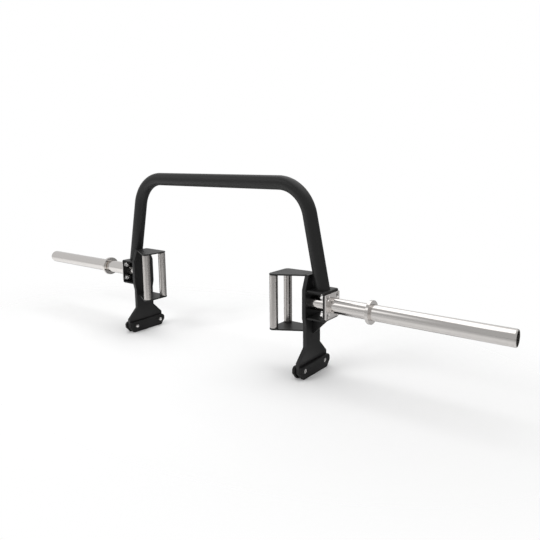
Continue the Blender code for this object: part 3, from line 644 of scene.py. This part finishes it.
def cassettePlatePart(node):
    # outline: straight end at the side plate, then lines tangent to an arc round each grip
    v = cassette
    low, high = boxOf(node)
    r = v["rounding"]
    front, rear = middleOf("front_grip")[:2], middleOf("rear_grip")[:2]
    frontEnd = (high[0], -sidePlate["topHalfWidth"])
    rearEnd = (high[0], sidePlate["topHalfWidth"])
    first, last = tangentAngle(front, r, frontEnd, -1.0), tangentAngle(rear, r, rearEnd, 1.0)
    points = [frontEnd]
    for centre, begin, end in ((front, first, -math.pi), (rear, math.pi, last)):
        angles = np.linspace(begin, end, math.ceil(abs(end - begin) / math.radians(v["arcStep"])) + 1)
        points.extend(np.stack([centre[0] + r * np.cos(angles), centre[1] + r * np.sin(angles)], 1))
    points.append(rearEnd)
    plate = roundedPlate(points, high[2] - low[2], v["edgeRadius"])
    return standing(plate, "Z", (0.0, 0.0, low[2]))


for node in ("cassette_upper_plate", "cassette_lower_plate"):
    addPair(node, cassettePlatePart(node), powder)

grip = {
    "diamondsRound": 48,
    "samplesPerDiamond": 4,
    "diamondLength": 0.00317,
    "knurlDepth": 0.00018,
    "knurlFlat": 1.7,  # how far the diamonds' tops are flattened
    "bandLength": 0.004,
    "bandRadiusStep": 0.0002,
    "bandShoulder": 0.0004,
    "endChamfer": 0.0005,
    "fadeLength": 0.0012,
    "sharpAngle": 50.0,
}


def gripPart(node):
    # diamond knurl: height is the lower of two crossed triangle waves in angle and length, and the ends have
    # smooth bands; spun about X, then stood up by exchanging X and Z
    v = grip
    low, high = boxOf(node)
    radius, half = 0.5 * (high[0] - low[0]), 0.5 * (high[2] - low[2])
    sides = v["diamondsRound"] * v["samplesPerDiamond"]
    knurlHalf = half - v["bandLength"]
    rows = 2 * int(knurlHalf * v["samplesPerDiamond"] / v["diamondLength"])
    along = np.linspace(-knurlHalf, knurlHalf, rows + 1)
    turns = ringAngles(sides)[None] * v["diamondsRound"] / math.tau
    lengths = np.arange(rows + 1)[:, None] / v["samplesPerDiamond"]
    waves = [np.abs(2.0 * ((turns + s * lengths) % 1.0) - 1.0) for s in (1.0, -1.0)]
    raised = np.clip(np.minimum(*waves) * v["knurlFlat"], 0.0, 1.0)
    fade = np.clip((knurlHalf - np.abs(along)) / v["fadeLength"], 0.0, 1.0)[:, None]
    radii = radius - v["knurlDepth"] * (1.0 - raised) * fade
    thin, chamfer = radius - v["bandRadiusStep"], v["endChamfer"]
    endAlong = np.array([half, half - chamfer, knurlHalf + v["bandShoulder"]])
    endRadii = np.repeat(np.array([thin - chamfer, thin, thin])[:, None], sides, 1)
    allAlong = np.concatenate([-endAlong, along, endAlong[::-1]])
    allRadii = np.concatenate([endRadii, radii, endRadii[::-1]])
    lying = spun(allAlong, allRadii, middleOf(node)[::-1])
    return dict(lying, verts=lying["verts"][:, ::-1])


for node in ("front_grip", "rear_grip"):
    addPair(node, gripPart(node), gripSteel, sharp=grip["sharpAngle"])
print("cassettes and grips made")

bracket = {
    "plateCorner": 0.005,
    "plateEdge": 0.0010,
    "gussetEdge": 0.0009,
    "ribNose": 0.009,
    "ribCorner": 0.002,
    "ribEdge": 0.0012,
    "flangeCorner": 0.004,
    "flangeEdge": 0.0009,
    "boltHole": 0.0054,
    "boltRecess": ((0.0042, 0.0076), (0.0, 0.0098)),  # depth and radius at its floor and mouth
    "stubHole": 0.0253,
}


def drilledPlatePart(node, kind, recess=()):
    # plate across the sleeve axis, with four bolt holes and the stub tube's hole
    low, high = boxOf(node)
    side, top, thickness = high[1], high[2] - axisZ, high[0] - low[0]
    corner = bracket[kind + "Corner"]
    outline = mirroredOutline([(side, top, corner), (side, -top, corner)])
    spread = middleOf("flange_bolt_upper_rear")[1]
    steps = holeSteps(bracket["boltHole"], thickness, recess)
    holes = [(y, z, steps) for y in (-spread, spread) for z in (-spread, spread)]
    holes.append((0.0, 0.0, holeSteps(bracket["stubHole"], thickness)))
    plate = roundedPlate(outline, thickness, bracket[kind + "Edge"], holes)
    return standing(plate, "X", (low[0], 0.0, axisZ))


def gussetPart(node):
    # level plate with the outline of its box
    low, high = boxOf(node)
    outline = [(low[0], low[1]), (high[0], low[1]), (high[0], high[1]), (low[0], high[1])]
    plate = roundedPlate(outline, high[2] - low[2], bracket["gussetEdge"])
    return standing(plate, "Z", (0.0, 0.0, low[2]))


def ribPart():
    # upright triangle under the lower gusset, with its outer corner cut to a nose
    v = bracket
    low, high = boxOf("bracket_rib")
    outline = [(low[0], high[2], 0.0), (low[0], low[2], v["ribCorner"]),
               (high[0], high[2] - v["ribNose"], v["ribCorner"]), (high[0], high[2], 0.0)]
    plate = roundedPlate(filletPath(outline), high[1] - low[1], v["ribEdge"])
    return standing(plate, "Y", (0.0, low[1], 0.0))


addPair("bracket_outer_plate", drilledPlatePart("bracket_outer_plate", "plate"), powder)
addPair("flange", drilledPlatePart("flange", "flange", bracket["boltRecess"]), chrome)
for node in ("bracket_upper_gusset", "bracket_lower_gusset"):
    addPair(node, gussetPart(node), powder)
addPair("bracket_rib", ribPart(), powder)
print("brackets and flanges made")

fastener = {
    "sides": 72,
    "gap": 0.0003,  # between a nut or washer and the face under it
    "edge": 0.0003,  # chamfer of washers, heads and sockets
    "nutBreak": 0.0004,  # length of a nut's seat chamfer
    "socketMouth": 1.2,  # its round mouth's radius as a share of the hexagon's half width
    "sharpAngle": 28.0,
}
big = 1.0  # metres, where there is no hexagon or no circle
halfSide = math.pi / 6.0  # half of a hexagon's side, as seen from its middle

bolt = {
    "shank": 0.005,
    "headRadius": 0.0072,
    "headHeight": 0.0018,
    "headChamfer": 0.0006,
    "socketHalfWidth": 0.0040,
    "socketDepth": 0.0050,
    "nutHalfWidth": 0.0095,
    "nutChamfer": 0.0012,
    "nutChamferRadius": 0.0090,
    "nutSeatCut": 0.0006,
    "nutHeight": 0.010,
    "washerRadius": 0.012,
    "washerThickness": 0.0025,
    "threadPitch": 0.00175,
    "threadDepth": 0.0008,
    "threadSteps": 6.0,  # in a pitch
    "tip": ((0.0, 0.0013), (0.0002, 0.0011)),  # distances from its end, and how much thinner it is there
    "threadStart": 0.0008,
}


def levels(rows):
    # rows of (x, round radius, hexagon half width): the surface follows the smaller of circle and hexagon,
    # whose radius is the half width / the cosine of the angle from the middle of its side
    x, circle, halfWidth = np.array(rows, float).T[:, :, None]
    fromMiddle = (ringAngles(fastener["sides"])[None] + halfSide) % (2.0 * halfSide) - halfSide
    return x[:, 0], np.minimum(circle, halfWidth / np.cos(fromMiddle))


def spunInPlace(node, *sections):
    # sections of (x, radii), end to end, spun about the middle line of the node's box
    along, radii = (np.concatenate(values) for values in zip(*sections))
    return spun(along, radii, middleOf(node) * (0.0, 1.0, 1.0))


def socketRows(end, v):
    # from the head's end face round into the hexagon socket and down to its floor
    half = v["socketHalfWidth"]
    return [(end, half * fastener["socketMouth"], big), (end - fastener["edge"], big, half),
            (end - v["socketDepth"], big, half)]


def nutRows(start, seat, faceRadius, v):
    # hexagon with its corners chamfered at both ends
    w, corner = v["nutHalfWidth"], v["nutHalfWidth"] / math.cos(halfSide)
    return [(start, faceRadius, big), (start + v["nutChamfer"], corner, w),
            (seat - fastener["nutBreak"], corner, w), (seat, corner - v["nutSeatCut"], w)]


def flangeBoltPart(node):
    # low-headed socket bolt with nut, washer and threaded end; the thread is a helix in the radius
    v, edge = bolt, fastener["edge"]
    low, high = boxOf(node)
    tip, end, shank = low[0], high[0], v["shank"]
    headX = end - v["headHeight"]
    washerEnd = boxOf("bracket_outer_plate")[0][0] - fastener["gap"]
    washerStart = washerEnd - v["washerThickness"]
    nutStart = washerStart - v["nutHeight"]
    washer, head = v["washerRadius"], v["headRadius"]
    threadX = np.arange(tip + v["threadStart"], nutStart, v["threadPitch"] / v["threadSteps"])
    phase = threadX[:, None] / v["threadPitch"] - ringAngles(fastener["sides"])[None] / math.tau
    thread = shank - v["threadDepth"] * np.abs(2.0 * (phase % 1.0) - 1.0)
    rows = [
        (nutStart, shank, big),
        *nutRows(nutStart, washerStart, v["nutChamferRadius"], v),
        (washerStart, washer - edge, big),
        (washerStart + edge, washer, big),
        (washerEnd - edge, washer, big),
        (washerEnd, washer - edge, big),
        (washerEnd, shank, big),
        (headX, shank, big),
        (headX, head - edge, big),
        (headX + edge, head, big),
        (end - v["headChamfer"], head, big),
        (end, head - v["headChamfer"], big),
        *socketRows(end, v),
    ]
    tipRows = [(tip + distance, shank - cut, big) for distance, cut in v["tip"]]
    return spunInPlace(node, levels(tipRows), (threadX, thread), levels(rows))


for level in ("upper", "lower"):
    for place in ("front", "rear"):
        node = f"flange_bolt_{level}_{place}"
        addPair(node, flangeBoltPart(node), zincSteel, sharp=fastener["sharpAngle"])

footScrew = {
    "shank": 0.004,
    "headRadius": 0.0078,
    "headHeight": 0.0040,
    "headEdge": ((0.0006, 0.0), (0.0002, 0.0002), (0.0, 0.0006)),  # distances from its end face and its side
    "socketHalfWidth": 0.0045,
    "socketDepth": 0.0030,
    "nutHalfWidth": 0.0065,
    "nutHexHeight": 0.0065,
    "nutChamfer": 0.0007,
    "nutSeatCut": 0.0005,
    "domeInset": 0.0004,
    "domeTop": 86.0,  # degrees of the dome's last ring
    "domeSteps": 12,
}


def footScrewPart(node):
    # socket head screw with its dome nut, a quarter ellipse, from the dome's top to the socket's floor
    v = footScrew
    low, high = boxOf(node)
    seat = boxOf("foot_pad_inner")[0][0] - fastener["gap"]
    hexEnd = seat - v["nutHexHeight"]
    end, headX, head = high[0], high[0] - v["headHeight"], v["headRadius"]
    domeHeight, domeRadius = hexEnd - low[0], v["nutHalfWidth"] - v["domeInset"]
    rise = np.radians(np.linspace(v["domeTop"], 0.0, v["domeSteps"]))
    dome = [hexEnd - domeHeight * np.sin(rise), domeRadius * np.cos(rise), np.full_like(rise, big)]
    rows = [*np.stack(dome, 1),
            *nutRows(hexEnd, seat, v["nutHalfWidth"], v),
            (seat, v["shank"], big),
            (headX, v["shank"], big),
            (headX, head, big),
            *[(end - back, head - cut, big) for back, cut in v["headEdge"]],
            *socketRows(end, v)]
    return spunInPlace(node, levels(rows))


for node in ("foot_screw_front", "foot_screw_rear"):
    addPair(node, footScrewPart(node), zincSteel, sharp=fastener["sharpAngle"])
print("fasteners made")

sleeve = {
    "sides": 128,
    "innerSides": 96,  # of the spindle and the end cap
    "stubWall": 0.005,
    "tubeBore": 0.019,
    "endRecessRadius": 0.022,
    "endRecessDepth": 0.024,
    "endChamfer": (0.0035, 0.0015),
    "shoulder": 0.002,  # rounding where that chamfer begins
    "rimRadius": 0.0004,
    "collarGap": 0.0002,
    "collarEdge": 0.0012,
    "collarStep": 10.0,  # degrees of its edges' chords
    "spindleEdge": 0.001,
    "pole": 0.001,  # radius of the smallest ring in an end face
    "capRim": 0.004,
    "capEdge": 0.0012,
    "capDish": 0.005,
    "capSlope": 0.0015,
    "capFoot": 0.001,
    "capStep": 12.0,  # degrees
}


def ringPart(node, bore, edge, stepDegrees=rounding["stepDegrees"], solid=False):
    # rectangle from bore to outside, with its two outer corners rounded, spun about the axis
    low, high = boxOf(node)
    outer, sides = high[1], sleeve["innerSides" if solid else "sides"]
    corners = [(low[0], bore, 0.0), (low[0], outer, edge), (high[0], outer, edge), (high[0], bore, 0.0)]
    return turned(filletPath(corners, stepDegrees), sides, not solid)


def sleeveTubePart():
    # tube profile with a chamfered end and the end cap's recess, spun about the axis
    v = sleeve
    low, high = boxOf("sleeve_tube")
    outer, rim = high[1], v["rimRadius"]
    length, depth = v["endChamfer"]
    recessX, recess = high[0] - v["endRecessDepth"], v["endRecessRadius"]
    profile = filletPath([
        (low[0], v["tubeBore"], 0.0),
        (low[0], outer, rim),
        (high[0] - length, outer, v["shoulder"]),
        (high[0], outer - depth, rim),
        (high[0], recess, rim),
        (recessX, recess, 0.0),
        (recessX, v["tubeBore"], 0.0),
    ])
    return turned(profile, v["sides"])


def endCapPart():
    # solid disc dished on its outer face, spun about the axis
    v = sleeve
    low, high = boxOf("end_cap")
    radius, inner, floorX = high[1], high[1] - v["capRim"], high[0] - v["capDish"]
    corners = [(low[0], v["pole"], 0.0), (low[0], radius, 0.0), (high[0], radius, v["capEdge"]),
               (high[0], inner, v["capEdge"]), (floorX, inner - v["capSlope"], v["capFoot"]),
               (floorX, v["pole"], 0.0)]
    return turned(filletPath(corners, v["capStep"]), v["innerSides"], False)


stubBore = boxOf("stub_tube")[1][1] - sleeve["stubWall"]
addPair("stub_tube", ringPart("stub_tube", stubBore, sleeve["rimRadius"]), chrome)
addPair("sleeve_tube", sleeveTubePart(), chrome, moving=True)
collarBore = boxOf("sleeve_tube")[1][1] + sleeve["collarGap"]
collar = ringPart("collar", collarBore, sleeve["collarEdge"], sleeve["collarStep"])
addPair("collar", collar, chrome, moving=True)
spindle = ringPart("spindle", sleeve["pole"], sleeve["spindleEdge"], solid=True)
addPair("spindle", spindle, spindleSteel)
addPair("end_cap", endCapPart(), plastic, moving=True)
print("sleeve units made")

# hidden rings, washers and bushes keep their own meshes
hiddenFinishes = {
    zincSteel[0]: ("support_ring", "retaining_washer", "retaining_ring"),
    bronze[0]: ("thrust_washer", "inner_bush", "outer_bush"),
}
for material, nodes in hiddenFinishes.items():
    for side, _ in halves:
        for node in nodes:
            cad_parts[f"{side}_{node}"].material_slots[0].material = material

# Studio
studio = {
    "worldStrength": 0.60,  # for diffuse light
    "floorHalf": 6.0,
    "floorDrop": 0.0004,  # below the feet
    "floorTone": 0.89,
    "floorRoughness": 0.9,
    # as metal sees it: under the right sleeve, in front, left, behind, behind beyond the right sleeve
    "floorInMetal": (0.77, 0.50, 0.92, 0.22, 0.50),
    "floorForwards": (-0.12, -0.75),  # Y over which it darkens in front
    "floorLeftwards": (0.1, -0.9),  # X over which it goes from right to left
    "floorBackwards": (0.08, 0.18),  # Y over which it darkens behind the bar
    "floorRightwards": (0.80, 0.88),  # X over which it lightens again there
    "floorReach": (1.7, 0.95),  # half lengths along X and Y, where the floor has faded
    "floorFade": 0.30,  # share of the reach at which it starts to fade
    "domeRadius": 8.0,
    "domeRows": 45,
    "domeColumns": 72,
    "domeTop": 88.0,  # degrees of the last row
    "domeTone": 0.46,
    "domeSideTone": 0.64,  # towards -X
    "domeSide": (-0.4, -0.85),  # share of X over which it comes up, and so on below
    "domeFarTone": 0.76,  # behind the bar on its left
    "domeFar": (0.3, 0.7),
    "domeBackTone": 0.16,  # behind the bar on its right, low down
    "domeBack": (0.55, 0.95),
    "domeBackDirection": (0.52, 0.82, -0.24),
    "frontBoxTone": 1.45,  # soft patch of light high in front on the left
    "frontBoxAcross": ((-0.19, -0.42), (-0.80, -0.60)),
    "frontBoxForwards": (-0.3, -0.5),
    "frontBoxHeight": ((0.36, 0.60), (0.80, 0.66)),
    "overheadTone": 1.5,
    "overhead": {"place": (0.056, 0.706, 1.95), "turn": -44.0, "size": (2.95, 1.66), "soft": 0.12},
    "topLight": {"place": (-0.1, 0.33, 1.95), "aim": (-0.1, 0.33, 0.0), "size": (2.6, 1.35), "power": 22.0},
    "keyLight": {"place": (-0.75, -1.85, 1.65), "aim": (0.3, 0.0, 0.3), "size": (1.0, 0.7), "power": 20.0},
}


def softStep(tree, value, limits):
    # 0 at the first limit, 1 at the second, smooth between; the first may be the larger
    start, end = limits
    inputs = {"Value": value, "From Min": min(limits), "From Max": max(limits),
              "To Min": float(start > end), "To Max": float(start < end)}
    return newNode(tree, "MapRange", inputs, interpolation_type="SMOOTHSTEP").outputs["Result"]


def product(tree, values):
    total = values[0]
    for value in values[1:]:
        total = mathNode(tree, "MULTIPLY", total, value)
    return total


def vectorNode(tree, operation, output, *values):
    return newNode(tree, "VectorMath", dict(enumerate(values)), operation=operation).outputs[output]


def splitVector(tree, vector):
    return newNode(tree, "SeparateXYZ", {"Vector": vector}).outputs


def finishSurface(tree, shader):
    feed(tree, tree.nodes["Material Output"], {"Surface": shader})


def faded(tree, factor, *shaders):
    # the first shader going over into the second; None is clear
    clear = newNode(tree, "BsdfTransparent", {}).outputs["BSDF"]
    first, second = (clear if shader is None else shader for shader in shaders)
    return newNode(tree, "MixShader", {"Fac": factor, 1: first, 2: second}).outputs["Shader"]


def stagePiece(name, verts, faces, material):
    mesh = bpy.data.meshes.new(name)
    mesh.from_pydata(np.asarray(verts).tolist(), [], np.asarray(faces).tolist())
    mesh.materials.append(material)
    piece = linked(name, mesh)
    return piece


def onlyReflected(piece):
    piece.visible_camera = False
    piece.visible_diffuse = False
    piece.visible_shadow = False


def buildWorld():
    # white to camera, glossy and transmitted rays, a little less for diffuse light
    world = bpy.data.worlds.new("studioWorld")
    world.use_nodes = True
    tree = world.node_tree
    path = newNode(tree, "LightPath", {}).outputs
    seen = mathNode(tree, "MAXIMUM", path["Is Camera Ray"], path["Is Glossy Ray"])
    seen = mathNode(tree, "MAXIMUM", seen, path["Is Transmission Ray"])
    diffuse = studio["worldStrength"]
    strength = mathNode(tree, "MULTIPLY_ADD", seen, 1.0 - diffuse, diffuse)
    feed(tree, tree.nodes["Background"], {"Color": (1.0, 1.0, 1.0, 1.0), "Strength": strength})
    bpy.context.scene.world = world


def buildFloor():
    # pale floor that fades out, so that no horizon shows; metal sees it darker and unfaded
    v = studio
    material, tree, shader, coordinates = newMaterial("paleFloor")
    place = coordinates["Object"]
    x, y, _ = splitVector(tree, place)
    under, front, left, behind, beyond = v["floorInMetal"]
    inMetal = mixColour(tree, softStep(tree, y, v["floorForwards"]), under, front)
    inMetal = mixColour(tree, softStep(tree, x, v["floorLeftwards"]), inMetal, left)
    behind = mixColour(tree, softStep(tree, x, v["floorRightwards"]), behind, beyond)
    inMetal = mixColour(tree, softStep(tree, y, v["floorBackwards"]), inMetal, behind)
    path = newNode(tree, "LightPath", {}).outputs
    tone = mixColour(tree, path["Is Glossy Ray"], v["floorTone"], inMetal)
    feed(tree, shader, {"Base Color": tone, "Roughness": v["floorRoughness"], "Specular IOR Level": 0.0})
    reachX, reachY = v["floorReach"]
    away = vectorNode(tree, "LENGTH", "Value", stretched(tree, place, (1.0 / reachX, 1.0 / reachY, 0.0)))
    direct = mathNode(tree, "SUBTRACT", 1.0, path["Is Glossy Ray"])
    fade = mathNode(tree, "MULTIPLY", softStep(tree, away, (v["floorFade"], 1.0)), direct)
    finishSurface(tree, faded(tree, fade, shader.outputs["BSDF"], None))
    corners = np.array([(-1.0, -1.0, 0.0), (1.0, -1.0, 0.0), (1.0, 1.0, 0.0), (-1.0, 1.0, 0.0)])
    floor = stagePiece("studioFloor", corners * v["floorHalf"], [[0, 1, 2, 3]], material)
    floor.location.z = -v["floorDrop"]


def buildDome():
    # grey studio round the set, a sphere without its poles that only reflections see: paler on the left,
    # dark behind on the right, a soft patch of light in front
    v = studio
    rise = np.radians(np.linspace(-v["domeTop"], v["domeTop"], v["domeRows"]))[:, None]
    around = np.radians(np.linspace(0.0, 360.0, v["domeColumns"], endpoint=False))[None]
    grid = v["domeRadius"] * np.stack([np.cos(rise) * np.cos(around), np.cos(rise) * np.sin(around),
                                       np.sin(rise) * np.ones_like(around)], -1)
    material, tree, _, coordinates = newMaterial("greyStudio")
    outwards = vectorNode(tree, "NORMALIZE", "Vector", coordinates["Object"])
    x, y, z = splitVector(tree, outwards)
    direction = Vector(v["domeBackDirection"]).normalized()
    towardsBack = vectorNode(tree, "DOT_PRODUCT", "Value", outwards, direction)
    tone = v["domeTone"]
    for part, share in (("Side", x), ("Far", y), ("Back", towardsBack)):
        tone = mixColour(tree, softStep(tree, share, v["dome" + part]), tone, v[f"dome{part}Tone"])
    edges = [softStep(tree, x, limits) for limits in v["frontBoxAcross"]]
    edges.append(softStep(tree, y, v["frontBoxForwards"]))
    edges += [softStep(tree, z, limits) for limits in v["frontBoxHeight"]]
    tone = mixColour(tree, product(tree, edges), tone, v["frontBoxTone"])
    finishSurface(tree, newNode(tree, "Emission", {"Color": tone}).outputs["Emission"])
    quads = gridQuads(v["domeRows"], v["domeColumns"], False, True)
    onlyReflected(stagePiece("studioDome", grid.reshape(-1, 3), quads, material))


def buildOverhead():
    # large softbox over the bar that only reflections see, clear beyond its soft edges
    v = studio["overhead"]
    shares = np.array([(0.0, 0.0), (0.0, 1.0), (1.0, 1.0), (1.0, 0.0)])
    x, y = ((shares - 0.5) * v["size"]).T
    turn = math.radians(v["turn"])
    across, forwards = x * math.cos(turn) - y * math.sin(turn), x * math.sin(turn) + y * math.cos(turn)
    corners = np.stack([across, forwards, 0.0 * x], 1)
    material, tree, _, coordinates = newMaterial("overheadBox")
    edges = []
    for share, size in zip(splitVector(tree, coordinates["UV"]), v["size"]):
        fromMiddle = mathNode(tree, "ABSOLUTE", mathNode(tree, "SUBTRACT", share, 0.5))
        edges.append(softStep(tree, fromMiddle, (0.5, 0.5 - v["soft"] / size)))
    glow = newNode(tree, "Emission", {"Color": (1.0, 1.0, 1.0, 1.0), "Strength": studio["overheadTone"]})
    finishSurface(tree, faded(tree, product(tree, edges), None, glow.outputs["Emission"]))
    box = stagePiece("overheadBox", corners + v["place"], [[0, 1, 2, 3]], material)
    box.data.uv_layers.new(name="shares").data.foreach_set("uv", shares.ravel())
    onlyReflected(box)


def addAreaLight(name, place, aim, size, power):
    # a lamp for diffuse light; reflections see the glowing surfaces instead
    light = bpy.data.lights.new(name, "AREA")
    light.shape = "RECTANGLE"
    light.size, light.size_y = size
    light.energy = power
    lamp = linked(name, light)
    lamp.location = place
    lamp.rotation_euler = (Vector(aim) - Vector(place)).to_track_quat("-Z", "Y").to_euler()
    lamp.visible_glossy = False


viewpoint = {
    "place": (1.3485, -1.4047, 0.4568),  # height above the sleeve axis
    "azimuth": 34.5,
    "elevation": 9.1,
    "focalPixels": 526.7,
    "centrePixel": (301.7, 245.4),
    "imageSize": 540.0,
    "sensorWidth": 36.0,
}


def buildCamera():
    v = viewpoint
    data = bpy.data.cameras.new("photoCamera")
    data.sensor_width = v["sensorWidth"]
    data.lens = v["focalPixels"] / v["imageSize"] * v["sensorWidth"]
    data.shift_x = 0.5 - v["centrePixel"][0] / v["imageSize"]
    data.shift_y = v["centrePixel"][1] / v["imageSize"] - 0.5
    camera = linked("photoCamera", data)
    camera.location = Vector(v["place"]) + Vector((0.0, 0.0, axisZ))
    camera.rotation_euler = (math.radians(90.0 - v["elevation"]), 0.0, math.radians(v["azimuth"]))
    bpy.context.scene.camera = camera


buildWorld()
buildFloor()
buildDome()
buildOverhead()
for name in ("topLight", "keyLight"):
    addAreaLight(name, **studio[name])
buildCamera()
bpy.context.scene.view_settings.view_transform = "Standard"
print("studio ready")
